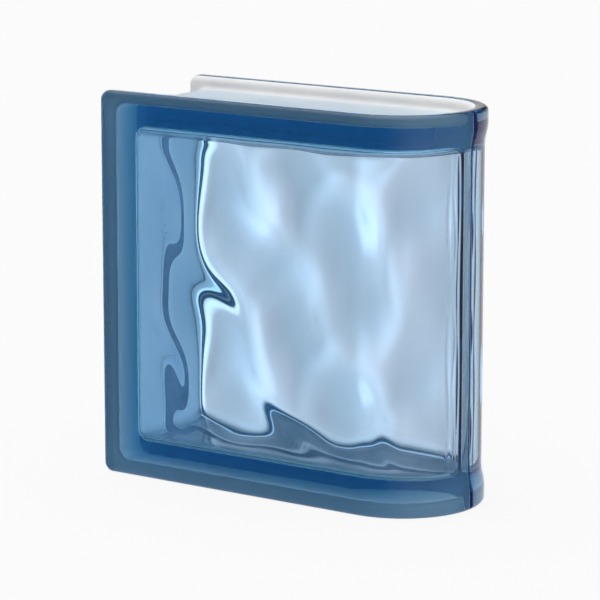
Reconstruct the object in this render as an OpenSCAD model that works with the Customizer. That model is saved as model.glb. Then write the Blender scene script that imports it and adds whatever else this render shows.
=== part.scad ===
// Hollow glass block for the free end of a wall: square at one end, half-round at the other.
// Two pressed half-shells are fused at mid-depth. Front is -Y, the round nose points to +X,
// and the block stands on z = 0 with its middle over the origin.

/* [Block] */
// Length from the square end to the tip of the nose
block_l = 190; // [150:1:300]
// Height
block_h = 190; // [140:1:300]
// Depth from face to face, which is also the width of the half-round nose
block_d = 80; // [72:1:100]

/* [Glass] */
// Thickness of the two faces, their rims and the nose wall
face_t = 8.5; // [7.5:0.5:11]
// Thickness of the side walls where the halves are fused
wall_t = 8.5; // [6:0.5:11]
// Draft of the pressed cavity, in degrees
draft_angle = 3.5; // [1:0.5:5]
// Corner radius of the cavity, seen from the front
cavity_corner_r = 6; // [3:0.5:12]
// Round between the cavity's face and its walls
cavity_edge_r = 5; // [3:0.5:7]

/* [Mortar channel] */
// Depth of the channel between the rims
channel_depth = 6.5; // [5:0.5:10]
// Corner radius of the channel floor, seen from the front
channel_corner_r = 6; // [2:0.5:10]
// Fillet where the channel floor meets the rims
channel_fillet_r = 2.5; // [1:0.5:4]

/* [Rims] */
// Corner radius of the faces at the square end
rim_corner_r = 5; // [4:0.5:12]
// Round of the outer edges
edge_r = 2.5; // [1:0.5:3.5]
// Round of the rims' edges on the channel side
lip_r = 3.5; // [1:0.5:3.5]

/* [Nose] */
// How far the nose between its two rims is set back
nose_recess = 1.8; // [0.5:0.1:3]
// Height of the nose rims at the top and bottom
nose_rim_h = 8; // [5:0.5:20]
// Height over which a rim runs down into the recess
nose_blend_h = 10; // [4:0.5:20]

/* [Seam] */
// Depth of the groove along the seam at the nose
seam_groove_depth = 3; // [2:0.1:3.5]
// Half of the groove's angle, in degrees
seam_groove_angle = 25; // [15:1:35]
// Height of the fused bead
bead_h = 0.8; // [0.3:0.1:1.5]
// Half of the bead's width
bead_w = 3; // [2:0.5:5]

/* [Pressed waves] */
// Height of the main waves to either side of the face
wave_h = 0.76; // [0.2:0.01:1.2]
// Distance from crest to crest
wave_l = 45; // [35:0.5:80]
// Lean of the crests from upright, in degrees
wave_lean = 34.5; // [-45:0.5:45]
// Where the first crest starts, as a share of a wave
wave_start = 0.78; // [0:0.01:1]
// How much steeper one flank of a wave is than the other
wave_steep = 0.17; // [0:0.01:0.3]
// How far the crests swing from side to side
wave_sway = 5.8; // [0:0.1:12]
// Length of one full swing along a crest
wave_sway_l = 74.5; // [60:0.5:150]
// Where the first swing starts, as a share of a swing
wave_sway_start = 0.66; // [0:0.01:1]
// Height of the swell, whose crests stand upright
swell_h = 0.47; // [0:0.01:0.8]
// Distance from crest to crest of the swell
swell_l = 66; // [50:0.5:150]
// Where the swell starts, as a share of its length
swell_start = 0.46; // [0:0.01:1]
// Height of the waves that lean the other way
cross_h = 0.52; // [0:0.01:0.8]
// Distance from crest to crest of those waves
cross_l = 46; // [35:0.5:80]
// Lean of their crests from upright, in degrees
cross_lean = -33; // [-45:0.5:45]
// Where they start, as a share of a wave
cross_start = 0.03; // [-0.5:0.01:1]
// Width of the margin in which the waves fade out
wave_margin = 14; // [8:1:25]
// How far the waves run on round the nose
wave_run_on = 20; // [14:1:40]

/* [Hidden] */
$fn = 96;

// How far cuts run past a surface
past = 1;
nose_r = block_d / 2;
nose_x = block_l / 2 - nose_r;
nose_cavity_r = nose_r - face_t;
web_x = -block_l / 2 + channel_depth;

// Spacing of the cavity's facets
facet_step = 4.2;
// Angle between the facets of a round, in degrees
round_step = 22.5;
nose_steps = 12;

glass_blue = [0.42, 0.62, 0.80, 0.55];

// Round profiles

// What a round of radius r takes off a corner at the origin
module corner_waste(r) {
    difference() {
        translate([-past, -past]) square(r + past);
        translate([r, r]) circle(r);
    }
}

// Rim, face and nose wall cut across: x runs in from the face, y up the block
module rim_section() {
    difference() {
        square([face_t, block_h]);
        corner_waste(edge_r);
        translate([0, block_h]) mirror([0, 1]) corner_waste(edge_r);
        translate([face_t, 0]) mirror([1, 0]) corner_waste(lip_r);
        translate([face_t, block_h]) rotate(180) corner_waste(lip_r);
    }
}

// Rim at the square end cut across: x runs out to the edge, y in from the face
module end_section() {
    difference() {
        square([rim_corner_r, face_t]);
        translate([rim_corner_r, 0]) mirror([1, 0]) corner_waste(edge_r);
        translate([rim_corner_r, face_t]) rotate(180) corner_waste(lip_r);
    }
}

// Outer form

module straight_face(x_from, x_to) {
    translate([x_from, -block_d / 2, 0]) rotate([90, 0, 90]) linear_extrude(x_to - x_from) rim_section();
}

module square_end() {
    end_x = -block_l / 2 + rim_corner_r;
    translate([end_x, -block_d / 2, rim_corner_r])
        linear_extrude(block_h - 2 * rim_corner_r) mirror([1, 0]) end_section();
    for (corner = [[block_h - rim_corner_r, 180], [rim_corner_r, 90]])
        translate([end_x, -block_d / 2, corner[0]]) rotate([-90, 0, 0]) rotate(corner[1]) end_corner();
}

// A quarter turn of the square end's rim
module end_corner() {
    rotate_extrude(angle = 90) end_section();
}

// The nose's outer limit: a drum set back from the rims, which flares out to them
module nose_drum() {
    rim_r = nose_r + nose_recess;
    flare_r = rim_r + past;
    recess_z = nose_rim_h + nose_blend_h;
    flare_z = nose_rim_h - nose_blend_h * past / nose_recess;
    translate([nose_x - nose_recess, 0, 0]) rotate_extrude() polygon([
        [0, -past], [flare_r, -past], [flare_r, flare_z], [nose_r, recess_z],
        [nose_r, block_h - recess_z], [flare_r, block_h - flare_z],
        [flare_r, block_h + past], [0, block_h + past]
    ]);
}

module nose() {
    intersection() {
        union() {
            straight_face(nose_x - nose_recess, nose_x);
            translate([nose_x, 0, 0]) rotate([0, 0, -90])
                rotate_extrude(angle = 90) translate([nose_r, 0]) mirror([1, 0]) rim_section();
        }
        nose_drum();
    }
}

// Outline of the side walls' outer faces, seen from the front and grown outwards
module web_outline(grow) {
    x0 = web_x - grow;
    z0 = channel_depth - grow;
    z1 = block_h - channel_depth + grow;
    r = channel_corner_r + grow;
    difference() {
        translate([x0, z0]) square([block_l, z1 - z0]);
        translate([x0, z0]) corner_waste(r);
        translate([x0, z1]) mirror([0, 1]) corner_waste(r);
    }
}

// The plan inside the rims, as far as the middle of the nose wall
module web_plan() {
    r = nose_r - face_t / 2;
    translate([-block_l, -r]) square([block_l + nose_x, r]);
    intersection() {
        translate([nose_x, 0]) circle(r);
        translate([nose_x, -r]) square(r);
    }
}

module side_walls() {
    intersection() {
        union() {
            rotate([90, 0, 0]) linear_extrude(nose_r) web_outline(0);
            rotate([90, 0, 0]) linear_extrude(bead_w) web_outline(bead_h);
        }
        linear_extrude(block_h) web_plan();
    }
}

// Fillets along the foot of the rim, round the square end and round the nose
module channel_fillets() {
    run_x = web_x + channel_corner_r;
    run_z = channel_depth + channel_corner_r;
    translate([web_x, -nose_cavity_r, run_z])
        linear_extrude(block_h - 2 * run_z) rotate(90) corner_waste(channel_fillet_r);
    upper_channel_fillet(run_x, run_z);
    translate([0, 0, block_h]) mirror([0, 0, 1]) upper_channel_fillet(run_x, run_z);
}

module upper_channel_fillet(run_x, run_z) {
    translate([run_x, -nose_cavity_r, block_h - channel_depth])
        rotate([90, 0, 90]) linear_extrude(nose_x - run_x) corner_waste(channel_fillet_r);
    translate([run_x, -nose_cavity_r, block_h - run_z]) rotate([-90, 0, 0]) rotate(180)
        rotate_extrude(angle = 90) translate([channel_corner_r, 0]) corner_waste(channel_fillet_r);
    translate([nose_x, 0, block_h - channel_depth]) rotate(-90)
        rotate_extrude(angle = 90) translate([nose_cavity_r, 0]) mirror([1, 0]) corner_waste(channel_fillet_r);
}

module seam_groove() {
    bottom_x = block_l / 2 - seam_groove_depth;
    reach = seam_groove_depth + past;
    translate([0, 0, -past]) linear_extrude(block_h + 2 * past) polygon([
        [bottom_x, 0], [bottom_x + reach, 0], [bottom_x + reach, -reach * tan(seam_groove_angle)]
    ]);
}

// Pressed cavity: a sheet of points that follows the face and the nose, and the drafted walls
// from the sheet's edges to the seam

// Rise of the fused bead at depth y
function bead(y) = bead_h * exp(-pow(y / bead_w, 2));

// Distance of the cavity's walls from the block's ends at depth y
function inset(y) = channel_depth + wall_t - y * tan(draft_angle) + bead(y);

// Height of a plain wave after so many turns
function ripple(turns) = sin(360 * turns);

// Height of the pressed waves; x runs along the face and on round the nose
function wave(x, z) =
    let (
        u = x * cos(wave_lean) + z * sin(wave_lean),
        v = z * cos(wave_lean) - x * sin(wave_lean),
        turns = (u + wave_sway * ripple(v / wave_sway_l + wave_sway_start)) / wave_l + wave_start,
        across = x * cos(cross_lean) + z * sin(cross_lean)
    )
    wave_h * (ripple(turns) - wave_steep * ripple(2 * turns))
        + swell_h * ripple(x / swell_l + swell_start)
        + cross_h * ripple(across / cross_l + cross_start);

function fade(d) = let (t = min(1, max(0, d / wave_margin))) t * t * (3 - 2 * t);

// Steps from an edge: close together round the corner, then evenly on
function edge_steps(r, length) =
    let (n = ceil((length - r) / facet_step))
    concat([for (a = [0 : round_step : 89]) r * (1 - cos(a))], [for (k = [0 : n]) r + (length - r) * k / n]);

face_y = -nose_cavity_r;
cavity_h = block_h - 2 * inset(face_y);
cavity_x = -block_l / 2 + inset(face_y);
half_rows = edge_steps(cavity_corner_r, cavity_h / 2);
rows = concat(half_rows, [for (k = [len(half_rows) - 2 : -1 : 0]) cavity_h - half_rows[k]]);
columns = edge_steps(cavity_edge_r, nose_x - cavity_x - cavity_corner_r);

n_row = len(rows);
n_straight = len(columns);
n_col = n_straight + nose_steps;

// How far the rounded corner moves the sheet's left edge in, at height z over the cavity's bottom
function corner_in(z) =
    let (d = min(z, cavity_h - z), r = cavity_corner_r)
    d < r ? r - sqrt(r * r - pow(r - d, 2)) : 0;

// Rise of the round along the sheet's edges, from its distances to the left edge and to the top or bottom
function edge_rise(d_left, d_end) =
    let (
        r = cavity_edge_r,
        e = min(1, norm([max(0, 1 - d_left / r), max(0, 1 - d_end / r)]))
    )
    r * (1 - sqrt(1 - e * e));

// A point of the straight face: columns run from the left edge to the nose
function face_point(i, j) =
    let (
        z0 = rows[j],
        d_end = min(z0, cavity_h - z0),
        stretch = (nose_x - cavity_x - corner_in(z0)) / (nose_x - cavity_x - cavity_corner_r),
        d_left = columns[i] * stretch,
        x = cavity_x + corner_in(z0) + d_left,
        margin = min(d_left, d_end, nose_x + wave_run_on - x),
        y = face_y + edge_rise(d_left, d_end) + wave(x, z0 + inset(face_y)) * fade(margin)
    )
    [x, y, level(z0, y)];

// A point of the nose's inside, and of the last column past the seam
function nose_point(k, j) =
    let (
        z0 = rows[j],
        d_end = min(z0, cavity_h - z0),
        angle = -90 + 90 * k / nose_steps,
        run = nose_x + nose_cavity_r * PI / 2 * k / nose_steps,
        relief = wave(run, z0 + inset(face_y)) * fade(min(d_end, nose_x + wave_run_on - run)),
        r = nose_cavity_r - edge_rise(block_l, d_end) - relief,
        y = r * sin(angle)
    )
    k == nose_steps
        ? [nose_x + r - bead_h, past, level(z0, past)]
        : [nose_x + (r - bead(y)) * cos(angle), y, level(z0, y)];

// Height of row z0 at depth y, between the drafted top and bottom
function level(z0, y) = inset(y) + z0 / cavity_h * (block_h - 2 * inset(y));

function sheet_point(i, j) = i < n_straight ? face_point(i, j) : nose_point(i - n_straight + 1, j);

// The sheet's edge from the seam along the bottom, up the left and back along the top
edge_chain = concat(
    [for (i = [n_col - 1 : -1 : 1]) [i, 0]],
    [for (j = [0 : n_row - 1]) [0, j]],
    [for (i = [1 : n_col - 1]) [i, n_row - 1]]
);
n_chain = len(edge_chain);

// Depths of the wall's rings, which follow the bead
wall_rings = [-2 * bead_w, -bead_w, -bead_w / 2, 0, past];
n_ring = len(wall_rings);

// A point of the drafted wall, under point [i, j] of the sheet's edge
function wall_point(ij, ring) =
    let (
        p = sheet_point(ij[0], ij[1]),
        squeeze = min(1, -p[1] / (3 * bead_w)),
        y = wall_rings[ring] < 0 ? wall_rings[ring] * squeeze : wall_rings[ring],
        x = ij[0] < n_straight ? p[0] + (inset(y) - inset(face_y)) * (nose_x - p[0]) / (nose_x - cavity_x) : p[0]
    )
    [x, y, level(rows[ij[1]], y)];

function sheet_index(i, j) = i * n_row + j;

// The chain's two ends lie past the seam already, so their rings are the sheet's own corners
function ring_index(c, ring) =
    ring < 0 || c == 0 || c == n_chain - 1
        ? sheet_index(edge_chain[c][0], edge_chain[c][1])
        : n_col * n_row + (c - 1) * n_ring + ring;

function quad(a, b, c, d) = [for (t = [[a, b, c], [a, c, d]]) if (t[0] != t[1] && t[1] != t[2] && t[2] != t[0]) t];

module plunger() {
    sheet = [for (i = [0 : n_col - 1]) for (j = [0 : n_row - 1]) sheet_point(i, j)];
    walls = [for (c = [1 : n_chain - 2]) for (ring = [0 : n_ring - 1]) wall_point(edge_chain[c], ring)];
    middle = n_col * n_row + (n_chain - 2) * n_ring;
    rim_loop = concat(
        [for (c = [0 : n_chain - 1]) ring_index(c, n_ring - 1)],
        [for (j = [n_row - 2 : -1 : 1]) sheet_index(n_col - 1, j)]
    );
    sheet_faces = [
        for (i = [0 : n_col - 2]) for (j = [0 : n_row - 2]) each quad(
            sheet_index(i, j), sheet_index(i, j + 1), sheet_index(i + 1, j + 1), sheet_index(i + 1, j))
    ];
    wall_faces = [
        for (c = [0 : n_chain - 2]) for (ring = [-1 : n_ring - 2]) each quad(
            ring_index(c, ring), ring_index(c, ring + 1), ring_index(c + 1, ring + 1), ring_index(c + 1, ring))
    ];
    lid_faces = [
        for (k = [0 : len(rim_loop) - 1]) [middle, rim_loop[(k + 1) % len(rim_loop)], rim_loop[k]]
    ];
    polyhedron(
        points = concat(sheet, walls, [[0, past, block_h / 2]]),
        faces = concat(sheet_faces, wall_faces, lid_faces)
    );
}

// One pressing, in its place as the front half
module half_shell() {
    difference() {
        union() {
            straight_face(-block_l / 2 + rim_corner_r, nose_x - nose_recess);
            square_end();
            nose();
            side_walls();
            channel_fillets();
        }
        plunger();
        seam_groove();
    }
}

// Pieces

module front_shell() {
    color(glass_blue) half_shell();
}

// The back half is the same pressing, turned over about the block's length
module back_shell() {
    color(glass_blue) translate([0, 0, block_h]) rotate([180, 0, 0]) half_shell();
}

front_shell();
back_shell();
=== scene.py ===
# %% [markdown]
# # A hollow glass block with a half-round end
# This lesson dresses a plain CAD model of a wall block as real pressed glass. The block is two
# open half-shells, pressed from blue glass and fused at mid-depth, so it is sealed and hollow.
# Nearly all of its look (dark edge lines, pale window, bent inner edges) comes from refraction, so
# the work is in exact closed surfaces and one glass material; only the coat seen from inside has painted
# shade.

import math

import bmesh
import bpy
import numpy as np
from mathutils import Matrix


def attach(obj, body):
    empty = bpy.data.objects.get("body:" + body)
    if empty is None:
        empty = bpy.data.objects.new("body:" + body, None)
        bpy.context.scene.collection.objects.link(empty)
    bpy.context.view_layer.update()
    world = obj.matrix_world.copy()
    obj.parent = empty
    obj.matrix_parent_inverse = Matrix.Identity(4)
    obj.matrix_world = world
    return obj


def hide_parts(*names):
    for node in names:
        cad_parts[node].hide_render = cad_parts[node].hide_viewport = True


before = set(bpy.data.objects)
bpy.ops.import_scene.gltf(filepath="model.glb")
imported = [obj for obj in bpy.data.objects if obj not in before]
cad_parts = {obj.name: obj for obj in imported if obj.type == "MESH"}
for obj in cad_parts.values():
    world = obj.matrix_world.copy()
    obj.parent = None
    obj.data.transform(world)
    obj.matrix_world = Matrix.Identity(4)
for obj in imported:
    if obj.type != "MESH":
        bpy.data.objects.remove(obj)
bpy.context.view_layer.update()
print("CAD nodes", sorted(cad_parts))

# %% [markdown]
# ## Sizes
# The block is 190 x 190 x 80 mm. Its rims stand 6.5 mm proud of the mortar channel, and the nose is
# half a cylinder as wide as the block is deep. All lengths here are millimetres, as on a glassmaker's
# drawing; they are turned into metres only when a mesh is made.

# %% Sizes of one pressing
MM = 0.001
HALF_L = 95.0
HEIGHT = 190.0
NOSE_R = 40.0
NOSE_X = HALF_L - NOSE_R
FACE_T = 8.5
WALL_T = 8.5
CHANNEL = 6.5
SEAM_GAP = 0.1
print("nose radius", NOSE_R, "mm about x =", NOSE_X, "mm, channel", CHANNEL, "mm deep")

# %% [markdown]
# ## One path, many profiles
# Rim, channel and cavity all run the same way round the half-shell: round the nose along the top,
# along the straight, round the square corner, down the end, and back along the bottom to the nose.
# If every profile point is carried along the same stations of that path, neighbouring strips share
# their points exactly and weld into one closed skin. A point of a profile is given by how far it lies
# in from the block's outline (o), how deep under the face (d), and where its corner turns (c). The
# stations crowd towards the tip of the nose, where the glass bends light the most.

# %% Stations of the path
N_NOSE = 72
N_RUN = 104
N_RISE = 116
N_CORNER = 12
N_TOP = N_NOSE + 1 + N_RUN
NOSE_EVEN = 0.12
NOSE_CROWD = 1.6

t_nose = np.arange(N_NOSE + 1) / N_NOSE
nose_angle = -np.radians(90.0) * (NOSE_EVEN * t_nose + (1 - NOSE_EVEN) * t_nose ** NOSE_CROWD)
t_run = np.arange(1, N_RUN + 1) / N_RUN
t_rise = np.arange(1, N_RISE + 1) / N_RISE
t_corner = np.radians(90.0) * np.arange(1, N_CORNER + 1) / N_CORNER


def path_points(o_of_y, d, c, squeeze=1.0):
    """Points of one profile entry at every station; squeeze moves them towards the seam."""
    def at(y):
        y = np.minimum(y * squeeze, -SEAM_GAP / 2)
        return y, o_of_y(y)

    y_nose, o_nose = at((NOSE_R - d) * np.sin(nose_angle))
    x_nose = NOSE_X + (NOSE_R - d) * np.cos(nose_angle)
    y_flat, o_flat = at(np.array([d - NOSE_R]))
    y_flat, o_flat = float(y_flat[0]), float(o_flat[0])
    r = c - o_flat
    cx, top, low = c - HALF_L, HEIGHT - c, c
    parts = [
        (x_nose, y_nose, HEIGHT - o_nose),
        (NOSE_X + (cx - NOSE_X) * t_run, y_flat, HEIGHT - o_flat),
        (cx - r * np.sin(t_corner), y_flat, top + r * np.cos(t_corner)),
        (o_flat - HALF_L, y_flat, top + (low - top) * t_rise),
        (cx - r * np.cos(t_corner), y_flat, low - r * np.sin(t_corner)),
        (cx + (NOSE_X - cx) * t_run, y_flat, o_flat),
        (x_nose[::-1][1:], y_nose[::-1][1:], o_nose[::-1][1:]),
    ]
    return np.concatenate([np.stack(np.broadcast_arrays(*p), -1) for p in parts])


def sheet_points(edge):
    """A grid that fills the inside of an edge profile whose corners are sharp."""
    top = edge[:N_TOP]
    t = np.concatenate([[0.0], t_rise])
    grid = np.repeat(top[:, None, :], len(t), 1)
    grid[..., 2] = top[:, None, 2] + (HEIGHT - 2 * top[:, None, 2]) * t[None, :]
    return grid


print("stations on the path", 2 * (N_NOSE + N_RUN + N_CORNER) + N_RISE + 1)

# %% [markdown]
# ## The nose and its seam
# Between its rims the nose is set back 1.8 mm, as the press ring leaves it, and the fused seam is a V
# down its middle. The V could be cut with a boolean, but that would leave ragged faces in a surface
# that everyone looks through. A plain function of position moves the points instead, so every strip
# agrees on it and the flanks meet the nose in a small round, as melted glass does.

# %% Shape the nose
RECESS = 1.8
NOSE_RIM = 8.0
NOSE_BLEND = 10.0
NOSE_EASE = 12.0
GROOVE = 3.0
GROOVE_SLOPE = math.tan(math.radians(25.0))
GROOVE_LIFT = 0.25
GROOVE_SOFT = 0.35
GROOVE_FAR = 9.0


def smooth(t):
    t = np.clip(t, 0.0, 1.0)
    return t * t * (3.0 - 2.0 * t)


def soft_knee(gap):
    """The larger of gap and zero, with a rounded knee between them."""
    return 0.5 * (gap + np.sqrt(gap * gap + GROOVE_SOFT ** 2))


def shape_nose(p):
    p = p.copy()
    end = np.minimum(p[..., 2], HEIGHT - p[..., 2])
    near = smooth((p[..., 0] - NOSE_X + NOSE_EASE) / NOSE_EASE)
    p[..., 0] -= RECESS * smooth((end - NOSE_RIM) / NOSE_BLEND) * near
    flank = HALF_L - GROOVE + GROOVE_LIFT + np.abs(p[..., 1]) / GROOVE_SLOPE
    p[..., 0] -= soft_knee(p[..., 0] - flank) - soft_knee(-GROOVE_FAR)
    return p


print("seam groove", GROOVE, "mm deep, nose set back", RECESS, "mm")

# %% [markdown]
# ## The outer skin
# From the middle of the face outwards a rim has a small polished edge round, a narrow side, a larger
# round on the lip, then its inner face and a fillet down to the channel floor, which runs to the seam
# and ends in a bead of squeezed glass. The matt white key coat, on which mortar grips, is thick from
# just round the lip to the foot of the fillet and thin on the channel floor. The strips where the two
# coats start are noted here.

# %% Build the outer skin
EDGE_R = 2.5
LIP_R = 3.5
FILLET_R = 2.5
RIM_CORNER = 5.0
CHANNEL_TURN = CHANNEL + 6.0
BEAD_H = 0.8
BEAD_W = 3.0
FLOOR_ROWS = (0.75, 0.5, 0.35, 0.26, 0.2, 0.15, 0.11, 0.08, 0.055, 0.03, 0.0)
ROUND_STEPS = 8
FILLET_STEPS = 6


def bead(y):
    return BEAD_H * np.exp(-(y / BEAD_W) ** 2)


def arc(o0, d0, r, start, end, steps):
    a = np.radians(np.linspace(start, end, steps + 1))
    return [(o0 + r * math.cos(k), d0 + r * math.sin(k)) for k in a]


rim = arc(EDGE_R, EDGE_R, EDGE_R, 270, 180, ROUND_STEPS)
lip_from = 1 + len(rim)
rim += arc(LIP_R, FACE_T - LIP_R, LIP_R, 180, 90, ROUND_STEPS)
fillet = arc(CHANNEL - FILLET_R, FACE_T + FILLET_R, FILLET_R, 270, 360, FILLET_STEPS)
profile = [(RIM_CORNER, 0.0, RIM_CORNER)]
profile += [(o, d, RIM_CORNER) for o, d in rim]
profile += [(o, d, CHANNEL_TURN) for o, d in fillet]
thick_from = lip_from + 2
thin_from = len(profile) - 3

outer = [path_points(lambda y, o=o: np.full_like(y, o), d, c) for o, d, c in profile]
for row in FLOOR_ROWS:
    outer.append(path_points(lambda y: CHANNEL - bead(y), FACE_T + FILLET_R, CHANNEL_TURN, row))
outer = shape_nose(np.array(outer))
face_edge = path_points(lambda y: np.full_like(y, RIM_CORNER), 0.0, RIM_CORNER)
outer_sheet = shape_nose(sheet_points(face_edge))
print("outer strips", outer.shape, "face and nose", outer_sheet.shape)

# %% [markdown]
# ## The pressed cavity
# The plunger leaves drafted walls, a round where they meet the face, and the same bead of squeezed
# glass at the seam. The same stations serve again, so the cavity has a point for every point of the
# outer skin at the seam. On the nose's inside a few shallow flow ridges stand beside the bead. They
# are only tenths of a millimetre high, but seen along the nose they draw its bright and dark lines.

# %% Build the cavity skin
DRAFT = math.tan(math.radians(3.5))
CAVITY_CORNER = 6.0
CAVITY_EDGE = 5.0
WALL_ROWS = (0.0, 0.02, 0.04, 0.06, 0.085, 0.11, 0.14, 0.18, 0.23, 0.3, 0.4, 0.6, 0.8)
EDGE_STEPS = 10


def inset(y):
    return CHANNEL + WALL_T - y * DRAFT + bead(y)


CAVITY_IN = float(inset(FACE_T - NOSE_R))


def cavity_entry(off, d, squeeze=1.0):
    return path_points(lambda y: inset(y) + off, d, CAVITY_IN + CAVITY_CORNER, squeeze)


round_d = FACE_T + CAVITY_EDGE
cavity = [cavity_entry(0.0, round_d, row) for row in WALL_ROWS]
for a in np.radians(np.linspace(0, 90, EDGE_STEPS + 1)):
    cavity.append(cavity_entry(CAVITY_EDGE * (1 - math.cos(a)), round_d - CAVITY_EDGE * math.sin(a)))
cavity.append(cavity_entry(CAVITY_CORNER, FACE_T))
cavity = np.array(cavity)
cavity_sheet = sheet_points(cavity[-1])

# Way from the seam, height, half-width, sway and length of the sway of each flow ridge
RIDGES = ((9.3, 0.35, 1.0, 0.5, 61.0), (6.3, 0.22, 0.8, 0.7, 47.0), (4.0, 0.25, 0.8, 0.4, 83.0))
RIDGE_FADE = 8.0
TINY = 0.001


def nose_inside(p):
    """The bead on the nose's inside stands inwards, with fine flow ridges beside it."""
    p = p.copy()
    inside = np.clip((p[..., 0] - NOSE_X) / (NOSE_R - FACE_T), 0.0, 1.0)
    way = (NOSE_R - FACE_T) * np.arctan2(-p[..., 1], np.maximum(p[..., 0] - NOSE_X, TINY))
    end = smooth((np.minimum(p[..., 2], HEIGHT - p[..., 2]) - CAVITY_IN) / RIDGE_FADE)
    p[..., 0] -= bead(p[..., 1]) * inside ** 3
    for place, high, wide, sway, length in RIDGES:
        middle = place + sway * np.sin(2 * math.pi * p[..., 2] / length)
        p[..., 0] -= high * np.exp(-((way - middle) / wide) ** 2) * end * (p[..., 0] > NOSE_X)
    return p


print("cavity strips", cavity.shape, "starting", round(CAVITY_IN, 2), "mm in from the block's edges")

# %% [markdown]
# ## Guides for the waves
# The plunger's relief will be pressed in by a node tree in a later step, which knows nothing of noses
# or corners. So each point of the cavity notes two things for it: "run", its way along the face and
# on round the nose, and "press", the direction in which the relief moves it. The direction shortens
# to nothing at the cavity's edges and past the start of the nose, so the waves fade out there.

# %% Note the guides on the cavity's points
WAVE_MARGIN = 14.0
WAVE_PAST_NOSE = 20.0


def relief_guides(p):
    """The run along the face and the direction of the press."""
    on_nose = p[..., 0] > NOSE_X
    angle = np.arctan2(p[..., 1], np.maximum(p[..., 0] - NOSE_X, 0.0))
    angle = np.where(on_nose, angle, -math.pi / 2)
    run = np.where(on_nose, NOSE_X + (NOSE_R - FACE_T) * (angle + math.pi / 2), p[..., 0])
    end = np.minimum(p[..., 2], HEIGHT - p[..., 2]) - CAVITY_IN
    left = p[..., 0] + HALF_L - CAVITY_IN
    in_corner = (left < CAVITY_CORNER) & (end < CAVITY_CORNER)
    corner = np.hypot(np.maximum(CAVITY_CORNER - left, 0.0), np.maximum(CAVITY_CORNER - end, 0.0))
    margin = np.where(in_corner, CAVITY_CORNER - corner, np.minimum(left, end))
    margin = np.minimum(margin, NOSE_X + WAVE_PAST_NOSE - run)
    strength = smooth(margin / WAVE_MARGIN)
    press = np.stack([-np.cos(angle), -np.sin(angle), np.zeros_like(angle)], -1)
    return run, press * strength[..., None]


strip_run, strip_press = relief_guides(cavity)
strip_press[:len(WALL_ROWS)] = 0.0
sheet_run, sheet_press = relief_guides(cavity_sheet)
cavity = nose_inside(cavity)
cavity_sheet = nose_inside(cavity_sheet)
print("waves run from", round(float(sheet_run.min()), 1), "to", NOSE_X + WAVE_PAST_NOSE, "mm along the face")

# %% [markdown]
# ## Small helpers for node trees
# Every material, the light and the waves are built from the same few nodes. A handful of helpers keeps
# those trees readable: each makes one node, sets or links its sockets, and gives back its output.

# %% Helpers that make nodes
def plug(tree, socket, value):
    """Set a socket to a constant, or link another node's output to it."""
    if isinstance(value, (int, float, tuple)):
        socket.default_value = value
    else:
        tree.links.new(value, socket)


def math_node(tree, operation, a, b=None):
    node = tree.nodes.new("ShaderNodeMath")
    node.operation = operation
    plug(tree, node.inputs[0], a)
    if b is not None:
        plug(tree, node.inputs[1], b)
    return node.outputs[0]


def map_range(tree, value, low, high, from_low=0.3, from_high=0.7):
    node = tree.nodes.new("ShaderNodeMapRange")
    node.inputs["From Min"].default_value = from_low
    node.inputs["From Max"].default_value = from_high
    node.inputs["To Min"].default_value = low
    node.inputs["To Max"].default_value = high
    tree.links.new(value, node.inputs["Value"])
    return node.outputs["Result"]


def mix(tree, kind, factor, a, b):
    node = tree.nodes.new("ShaderNodeMix")
    node.data_type = kind
    plug(tree, node.inputs["Factor"], factor)
    plug(tree, node.inputs["A"], a)
    plug(tree, node.inputs["B"], b)
    return node.outputs["Result"]


def noise(tree, coords, scale, detail):
    node = tree.nodes.new("ShaderNodeTexNoise")
    node.inputs["Scale"].default_value = scale
    node.inputs["Detail"].default_value = detail
    tree.links.new(coords.outputs["Object"], node.inputs["Vector"])
    return node.outputs["Fac"]


def material_nodes(name):
    mat = bpy.data.materials.new(name)
    mat.use_nodes = True
    tree = mat.node_tree
    return mat, tree, tree.nodes["Principled BSDF"], tree.nodes["Material Output"]


print("helpers ready for", bpy.app.version_string)

# %% [markdown]
# ## Blue glass with a white key coat
# The glass is coloured in the mass, so its colour deepens with the way light travels in it: pale
# through a face, deep along a rim. A clear Principled glass with Volume Absorption inside does just
# that, and a faint noise in roughness stands for the skin of pressed glass. The key coat could be a
# second material, but two materials on one body would break the volume between them. So each face
# carries a value, "film": how much of its light a matt white film stops. Film 0 is bare glass. Where
# the film is seen from inside, through glass, it is painted a darker blue: painted shade for the dimmer,
# deeper look of a film wetted onto glass. A fine sand grain gives the film tooth.

# %% Make the blue glass
IOR = 1.52
GLASS_COLOUR = (0.09, 0.635, 0.836)
GLASS_DENSITY = 55.0
GLASS_TINT = (1.0, 0.9, 0.935, 1.0)
SKIN_ROUGHNESS = 0.03
COAT_ROUGHNESS = 0.9
COAT_GREY = (0.84, 0.85, 0.86, 1.0)
COAT_WHITE = (0.93, 0.93, 0.92, 1.0)
# Colour of the film's back faces, seen from inside the glass: painted shade, darker and bluer than the white
# coat
PAINTED_SHADE_FROM_INSIDE = (0.55, 0.78, 0.95, 1.0)
SAND_GRAIN = 0.0002
SAND_STRENGTH = 0.4
THICK_FILM = 0.97
THIN_FILM = 0.5
SEAM_FILM = 0.1
ANY_FILM = 0.01

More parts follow.
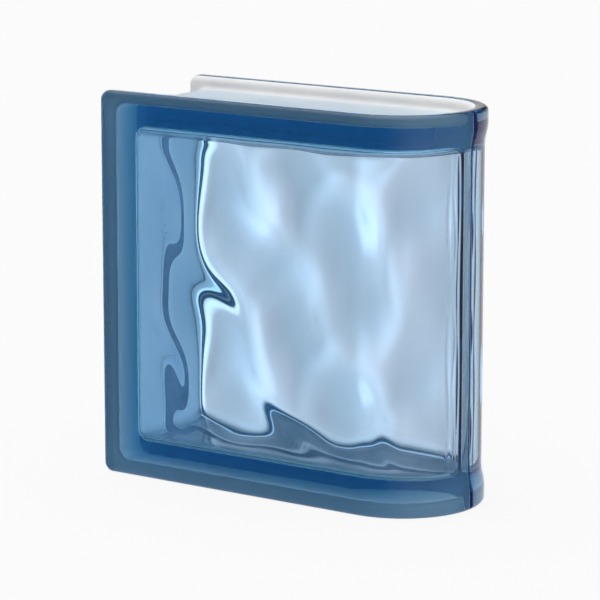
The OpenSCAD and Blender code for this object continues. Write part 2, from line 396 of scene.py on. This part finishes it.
glass, tree, bsdf, output = material_nodes("pressed_blue_glass")
coords = tree.nodes.new("ShaderNodeTexCoord")
sides = tree.nodes.new("ShaderNodeNewGeometry")
attribute = tree.nodes.new("ShaderNodeAttribute")
attribute.attribute_name = "film"
film = attribute.outputs["Fac"]
covered = math_node(tree, "GREATER_THAN", film, ANY_FILM)
skin = map_range(tree, noise(tree, coords, 60.0, 3.0), 0.0, SKIN_ROUGHNESS)
cloud = map_range(tree, noise(tree, coords, 45.0, 3.0), 0.0, 1.0)
white = mix(tree, "RGBA", cloud, COAT_GREY, COAT_WHITE)
# Back faces of the film take the painted shade colour, front faces the white coat
coat_and_painted_shade = mix(tree, "RGBA", sides.outputs["Backfacing"], white, PAINTED_SHADE_FROM_INSIDE)
plug(tree, bsdf.inputs["Base Color"], mix(tree, "RGBA", covered, GLASS_TINT, coat_and_painted_shade))
plug(tree, bsdf.inputs["Roughness"], mix(tree, "FLOAT", covered, skin, COAT_ROUGHNESS))
plug(tree, bsdf.inputs["Transmission Weight"], math_node(tree, "SUBTRACT", 1.0, film))
bsdf.inputs["IOR"].default_value = IOR

sanded = math_node(tree, "GREATER_THAN", film, (SEAM_FILM + THIN_FILM) / 2)
sand = tree.nodes.new("ShaderNodeBump")
sand.inputs["Distance"].default_value = SAND_GRAIN
plug(tree, sand.inputs["Strength"], math_node(tree, "MULTIPLY", sanded, SAND_STRENGTH))
plug(tree, sand.inputs["Height"], noise(tree, coords, 900.0, 2.0))
plug(tree, bsdf.inputs["Normal"], sand.outputs["Normal"])

volume = tree.nodes.new("ShaderNodeVolumeAbsorption")
volume.inputs["Color"].default_value = (*GLASS_COLOUR, 1.0)
volume.inputs["Density"].default_value = GLASS_DENSITY
plug(tree, output.inputs["Volume"], volume.outputs["Volume"])
two_panes = 2 * FACE_T * MM
let_through = [math.exp(-GLASS_DENSITY * (1 - c) * two_panes) for c in GLASS_COLOUR]
print("two panes let through", [round(share, 2) for share in let_through], "of red, green and blue")

# %% [markdown]
# ## A node tree for the waves
# The relief of the plunger is a rule over a surface: three trains of long low waves added up. The
# first train leans, sways from side to side and is steeper on one flank; an upright swell and a cross
# train that leans the other way break its order. That is work for Geometry Nodes. The tree reads the
# "run" and "press" noted on the points, so the waves turn with the nose, and its named inputs are the
# numbers a mould maker would change.

# %% Build the wave tree
WAVE = {
    "height": 0.76, "length": 45.0, "heading": 34.5, "start": 0.78, "steep": 0.17,
    "sway": 5.8, "sway length": 74.5, "sway start": 0.66,
    "swell height": 0.47, "swell length": 66.0, "swell heading": 0.0, "swell start": 0.46,
    "cross height": 0.52, "cross length": 46.0, "cross heading": -33.0, "cross start": 0.03,
}
IN_TURNS = ("steep", "start", "sway start", "swell start", "cross start")
IN_DEGREES = ("heading", "swell heading", "cross heading")

waves = bpy.data.node_groups.new("pressed waves", "GeometryNodeTree")
waves.interface.new_socket("Geometry", in_out="INPUT", socket_type="NodeSocketGeometry")
waves.interface.new_socket("Geometry", in_out="OUTPUT", socket_type="NodeSocketGeometry")
for name in WAVE:
    waves.interface.new_socket(name, in_out="INPUT", socket_type="NodeSocketFloat")
waves.interface.new_socket("Material", in_out="INPUT", socket_type="NodeSocketMaterial")
source = waves.nodes.new("NodeGroupInput")
value = source.outputs


def noted(name, data_type):
    """What a point of the cavity noted under a name."""
    node = waves.nodes.new("GeometryNodeInputNamedAttribute")
    node.data_type = data_type
    node.inputs["Name"].default_value = name
    return node.outputs["Attribute"]


def along(heading, x, z):
    """How far a point lies along a heading."""
    east = math_node(waves, "MULTIPLY", x, math_node(waves, "COSINE", heading))
    north = math_node(waves, "MULTIPLY", z, math_node(waves, "SINE", heading))
    return math_node(waves, "ADD", east, north)


def turns(distance, length, start):
    return math_node(waves, "ADD", math_node(waves, "DIVIDE", distance, length), start)


def sine(phase, height=None):
    wave = math_node(waves, "SINE", math_node(waves, "MULTIPLY", phase, 2 * math.pi))
    return wave if height is None else math_node(waves, "MULTIPLY", wave, height)


position = waves.nodes.new("GeometryNodeInputPosition")
split = waves.nodes.new("ShaderNodeSeparateXYZ")
waves.links.new(position.outputs["Position"], split.inputs[0])
run = noted("run", "FLOAT")
rise = split.outputs["Z"]
across = along(value["heading"], run, rise)
crestwise = along(value["heading"], rise, math_node(waves, "MULTIPLY", run, -1.0))
sway = sine(turns(crestwise, value["sway length"], value["sway start"]), value["sway"])
phase = turns(math_node(waves, "ADD", across, sway), value["length"], value["start"])
flank = sine(math_node(waves, "MULTIPLY", phase, 2.0), value["steep"])
crest = math_node(waves, "SUBTRACT", sine(phase), flank)
total = math_node(waves, "MULTIPLY", crest, value["height"])
for train in ("swell", "cross"):
    way = along(value[f"{train} heading"], run, rise)
    phase = turns(way, value[f"{train} length"], value[f"{train} start"])
    total = math_node(waves, "ADD", total, sine(phase, value[f"{train} height"]))

offset = waves.nodes.new("ShaderNodeVectorMath")
offset.operation = "SCALE"
waves.links.new(noted("press", "FLOAT_VECTOR"), offset.inputs[0])
waves.links.new(total, offset.inputs["Scale"])
move = waves.nodes.new("GeometryNodeSetPosition")
waves.links.new(source.outputs["Geometry"], move.inputs["Geometry"])
waves.links.new(offset.outputs[0], move.inputs["Offset"])
real = waves.nodes.new("GeometryNodeRealizeInstances")
waves.links.new(move.outputs["Geometry"], real.inputs["Geometry"])
dress = waves.nodes.new("GeometryNodeSetMaterial")
waves.links.new(real.outputs["Geometry"], dress.inputs["Geometry"])
waves.links.new(source.outputs["Material"], dress.inputs["Material"])
sink = waves.nodes.new("NodeGroupOutput")
waves.links.new(dress.outputs["Geometry"], sink.inputs["Geometry"])
print("wave tree with", len(waves.nodes), "nodes and", len(WAVE), "sizes")

# %% [markdown]
# ## Press the waves into the cavity's face
# The cavity's grids become a mesh that carries the guides as attributes. A Nodes modifier gets the
# tree, its inputs are set by each socket's identifier, and new_from_object turns the evaluated result
# into a plain mesh, which is all the next step needs.

# %% Press the waves
def grid_faces(first, rows, columns):
    i, j = np.meshgrid(np.arange(rows - 1), np.arange(columns - 1), indexing="ij")
    a = (first + i * columns + j).ravel()
    return np.stack([a, a + 1, a + columns + 1, a + columns], -1)


def mesh_of_grids(name, grids):
    points = np.concatenate([g.reshape(-1, 3) for g in grids]) * MM
    faces = []
    first = 0
    for g in grids:
        faces.append(grid_faces(first, g.shape[0], g.shape[1]))
        first += g.shape[0] * g.shape[1]
    mesh = bpy.data.meshes.new(name)
    mesh.from_pydata(points.tolist(), [], np.concatenate(faces).tolist())
    return mesh


def read_points(mesh):
    points = np.empty(len(mesh.vertices) * 3)
    mesh.vertices.foreach_get("co", points)
    return points.reshape(-1, 3)


cavity_mesh = mesh_of_grids("cavity", [cavity, cavity_sheet])
runs = np.concatenate([strip_run.ravel(), sheet_run.ravel()]) * MM
presses = np.concatenate([strip_press.reshape(-1, 3), sheet_press.reshape(-1, 3)])
cavity_mesh.attributes.new("run", "FLOAT", "POINT").data.foreach_set("value", runs)
cavity_mesh.attributes.new("press", "FLOAT_VECTOR", "POINT").data.foreach_set("vector", presses.ravel())
cavity_object = bpy.data.objects.new("cavity", cavity_mesh)
bpy.context.collection.objects.link(cavity_object)
modifier = cavity_object.modifiers.new("waves", "NODES")
modifier.node_group = waves
keys = {item.name: item.identifier for item in waves.interface.items_tree if item.in_out == "INPUT"}
for name, number in WAVE.items():
    if name in IN_DEGREES:
        number = math.radians(number)
    elif name not in IN_TURNS:
        number *= MM
    modifier[keys[name]] = number
modifier[keys["Material"]] = glass
depsgraph = bpy.context.evaluated_depsgraph_get()
pressed = bpy.data.meshes.new_from_object(cavity_object.evaluated_get(depsgraph))
largest = np.abs(read_points(pressed) - read_points(cavity_mesh)).max() / MM
bpy.data.objects.remove(cavity_object)
print("largest wave", round(float(largest), 2), "mm")

# %% [markdown]
# ## Weld one pressing
# The two skins meet only at the seam plane, where a flat ring of glass closes them. Along the channel
# the ring is one more strip between the same stations, and only the section through the nose is filled
# from its open edges. Welding by distance joins all strips, and normals are then turned outwards. Each
# face's kind rides through the weld as its material index. The seam is a little milky behind the
# channel, where the hot faces were pushed together, and clear down the nose.

# %% Weld the half-shell
BARE, THICK, SEAM, THIN = range(4)
WELD = 0.001 * MM

outer_mesh = mesh_of_grids("outer", [outer, outer_sheet])
kind = np.full(len(outer_mesh.polygons), BARE, dtype=np.int32)
per_strip = outer.shape[1] - 1
kind[thick_from * per_strip:thin_from * per_strip] = THICK
kind[thin_from * per_strip:(outer.shape[0] - 1) * per_strip] = THIN
outer_mesh.polygons.foreach_set("material_index", kind)
ring_mesh = mesh_of_grids("seam", [np.stack([outer[-1], cavity[0]])])
kind = np.full(len(ring_mesh.polygons), SEAM, dtype=np.int32)
ring_mesh.polygons.foreach_set("material_index", kind)

shell = bmesh.new()
for mesh in (outer_mesh, pressed, ring_mesh):
    shell.from_mesh(mesh)
bmesh.ops.remove_doubles(shell, verts=shell.verts, dist=WELD)
open_edges = [e for e in shell.edges if e.is_boundary]
off_seam = max(abs(v.co.y / MM + SEAM_GAP / 2) for e in open_edges for v in e.verts)
fill = bmesh.ops.triangle_fill(shell, use_beauty=True, edges=open_edges, normal=(0.0, 1.0, 0.0))
filled = [f for f in fill["geom"] if isinstance(f, bmesh.types.BMFace)]
for f in filled:
    off_middle = max(abs(v.co.z / MM - HEIGHT / 2) for v in f.verts)
    on_nose = f.verts[0].co.x / MM > NOSE_X and off_middle < HEIGHT / 2 - CAVITY_IN
    f.material_index = BARE if on_nose else SEAM
bmesh.ops.recalc_face_normals(shell, faces=shell.faces)
for f in shell.faces:
    f.smooth = True
still_open = sum(1 for e in shell.edges if not e.is_manifold)
print("filled", len(filled), "faces,", round(off_seam, 4), "mm off the seam plane, open edges", still_open)

# %% [markdown]
# ## Two halves of one pressing
# The back half is the very same pressing turned over about the block's length, so its points are
# turned and not mirrored, and its faces stay outward. A tenth of a millimetre of air at the seam keeps
# the two glass bodies from sharing a face, which would confuse the refraction. Here each face's kind
# becomes its film value, and edges sharper than 32 degrees are shaded sharp.

# %% Make the two half-shells
FILM = (0.0, THICK_FILM, SEAM_FILM, THIN_FILM)
SHARP = math.radians(32.0)


def add_half(name, turned):
    mesh = bpy.data.meshes.new(name)
    shell.to_mesh(mesh)
    if turned:
        points = read_points(mesh) * (1.0, -1.0, -1.0) + (0.0, 0.0, HEIGHT * MM)
        mesh.vertices.foreach_set("co", points.ravel())
        mesh.update()
    for guide in ("run", "press"):
        if guide in mesh.attributes:
            mesh.attributes.remove(mesh.attributes[guide])
    mesh.materials.append(glass)
    kind = np.empty(len(mesh.polygons), dtype=np.int32)
    mesh.polygons.foreach_get("material_index", kind)
    film = np.choose(kind, FILM).astype(np.float32)
    mesh.attributes.new("film", "FLOAT", "FACE").data.foreach_set("value", film)
    mesh.polygons.foreach_set("material_index", np.zeros_like(kind))
    mesh.set_sharp_from_angle(angle=SHARP)
    half = bpy.data.objects.new(name, mesh)
    bpy.context.collection.objects.link(half)
    return half


front = add_half("front_glass", False)
back = add_half("back_glass", True)
for half, node in ((front, "front_shell"), (back, "back_shell")):
    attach(half, "root")
    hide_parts(node)
    triangles = sum(len(p.vertices) - 2 for p in half.data.polygons)
    print(half.name, triangles, "triangles")
print("glass in each half", round(shell.calc_volume() * 1e6, 1), "cubic centimetres")
shell.free()

# %% [markdown]
# ## The floor
# A plain white floor carries the block. To the camera it is nearly all glow, so it stays white without
# more light on the glass, and a share of matt white keeps the block's soft shadow. It is large, so no
# edge of it shows from other sides. The glass doesn't see it: the light below stands for a white table.

# %% Lay the floor
FLOOR_HALF = 4.0
FLOOR_DROP = 0.0002
FLOOR_GLOW = 0.9
FLOOR_WHITE = (0.6, 0.6, 0.6, 1.0)
SIDES = ((-1, -1), (1, -1), (1, 1), (-1, 1))

floor_mesh = bpy.data.meshes.new("floor")
floor_mesh.from_pydata([(x * FLOOR_HALF, y * FLOOR_HALF, 0.0) for x, y in SIDES], [], [[0, 1, 2, 3]])
floor = bpy.data.objects.new("floor", floor_mesh)
floor.location.z = -FLOOR_DROP
bpy.context.collection.objects.link(floor)
floor.visible_transmission = False
floor.visible_glossy = False
floor.visible_shadow = False

floor_mat, tree, bsdf, output = material_nodes("floor_white")
bsdf.inputs["Base Color"].default_value = FLOOR_WHITE
bsdf.inputs["Roughness"].default_value = 0.9
bsdf.inputs["Specular IOR Level"].default_value = 0.0
path = tree.nodes.new("ShaderNodeLightPath")
glow = tree.nodes.new("ShaderNodeEmission")
blend = tree.nodes.new("ShaderNodeMixShader")
plug(tree, blend.inputs["Fac"], math_node(tree, "MULTIPLY", path.outputs["Is Camera Ray"], FLOOR_GLOW))
plug(tree, blend.inputs[1], bsdf.outputs["BSDF"])
plug(tree, blend.inputs[2], glow.outputs["Emission"])
plug(tree, output.inputs["Surface"], blend.outputs["Shader"])
floor_mesh.materials.append(floor_mat)
print("floor", 2 * FLOOR_HALF, "m wide")

# %% [markdown]
# ## Light for glass
# Clear glass shows what stands round it, so the light is a ring of soft cards more than a set of lamps:
# a soft box overhead, a bright wall at the back left that makes the pale window, cards at both sides
# and a white table below. Between them it stays dark, and that darkness is what draws the edges. The
# cards are soft patches of the world's own light. A card at the front is seen only straight through
# the glass, so that the window is pale from behind as well and nothing is lit by it. The camera itself
# sees plain white.

# %% Set the light
# Axis, cosine at which the card starts, cosine at which it is full, strength
CARDS = {
    "soft box overhead": ((0.0, 0.0, 1.0), 0.6, 0.95, 1.9),
    "wall at the back left": ((-0.73, 0.65, -0.21), 0.78, 0.99, 1.02),
    "bright patch on that wall": ((-0.87, 0.46, -0.17), 0.86, 0.995, 0.45),
    "card above the camera": ((0.0, -0.7, 0.7), 0.6, 0.95, 0.35),
    "right card": ((0.95, -0.2, 0.1), 0.3, 0.9, 0.5),
    "white table below": ((0.0, 0.0, -1.0), 0.2, 0.8, 0.45),
    "left card": ((-0.98, 0.1, 0.17), 0.6, 0.95, 0.95),
    "back card": ((0.09, 0.98, -0.19), 0.85, 0.97, 0.8),
}
FRONT_CARD = ((0.0, -1.0, 0.0), 0.1, 0.5, 0.45)
AMBIENT = 0.05

scene = bpy.context.scene
scene.view_settings.view_transform = "Standard"
scene.cycles.max_bounces = 24
scene.cycles.transmission_bounces = 24
scene.cycles.glossy_bounces = 12
scene.cycles.diffuse_bounces = 6

world = bpy.data.worlds.new("studio")
scene.world = world
world.use_nodes = True
tree = world.node_tree
direction = tree.nodes.new("ShaderNodeTexCoord")
path = tree.nodes.new("ShaderNodeLightPath")


def card(axis, start, full, strength):
    """A soft patch of light around one direction."""
    dot = tree.nodes.new("ShaderNodeVectorMath")
    dot.operation = "DOT_PRODUCT"
    tree.links.new(direction.outputs["Generated"], dot.inputs[0])
    dot.inputs[1].default_value = axis
    patch = map_range(tree, dot.outputs["Value"], 0.0, strength, start, full)
    patch.node.interpolation_type = "SMOOTHSTEP"
    return patch


level = AMBIENT
for numbers in CARDS.values():
    level = math_node(tree, "ADD", card(*numbers), level)
straight = math_node(tree, "LESS_THAN", path.outputs["Diffuse Depth"], 0.5)
through = math_node(tree, "MULTIPLY", path.outputs["Is Transmission Ray"], straight)
front_card = math_node(tree, "MULTIPLY", card(*FRONT_CARD), through)
level = math_node(tree, "MAXIMUM", level, front_card)
level = math_node(tree, "MAXIMUM", level, path.outputs["Is Camera Ray"])
background = tree.nodes["Background"]
background.inputs["Color"].default_value = (1.0, 1.0, 1.0, 1.0)
plug(tree, background.inputs["Strength"], level)
print("light from", len(CARDS), "cards:", ", ".join(CARDS))

# %% [markdown]
# ## The camera
# A long lens from the front right, a little above the block, keeps its edges nearly parallel and shows
# the face, the start of the nose and a strip of the white channel on top.

# %% Place the camera
CAMERA_AT = (0.8636, -1.23804, 0.39057)
CAMERA_DOWN = 0.1962
CAMERA_ROUND = 0.6112

camera_data = bpy.data.cameras.new("camera")
camera_data.lens = 191.0
camera_data.sensor_width = 36.0
camera_data.clip_end = 100.0
camera = bpy.data.objects.new("camera", camera_data)
camera.location = CAMERA_AT
camera.rotation_euler = (math.pi / 2 - CAMERA_DOWN, 0.0, CAMERA_ROUND)
bpy.context.collection.objects.link(camera)
scene.camera = camera
print("camera", [round(c, 3) for c in camera.location], "lens", camera_data.lens)
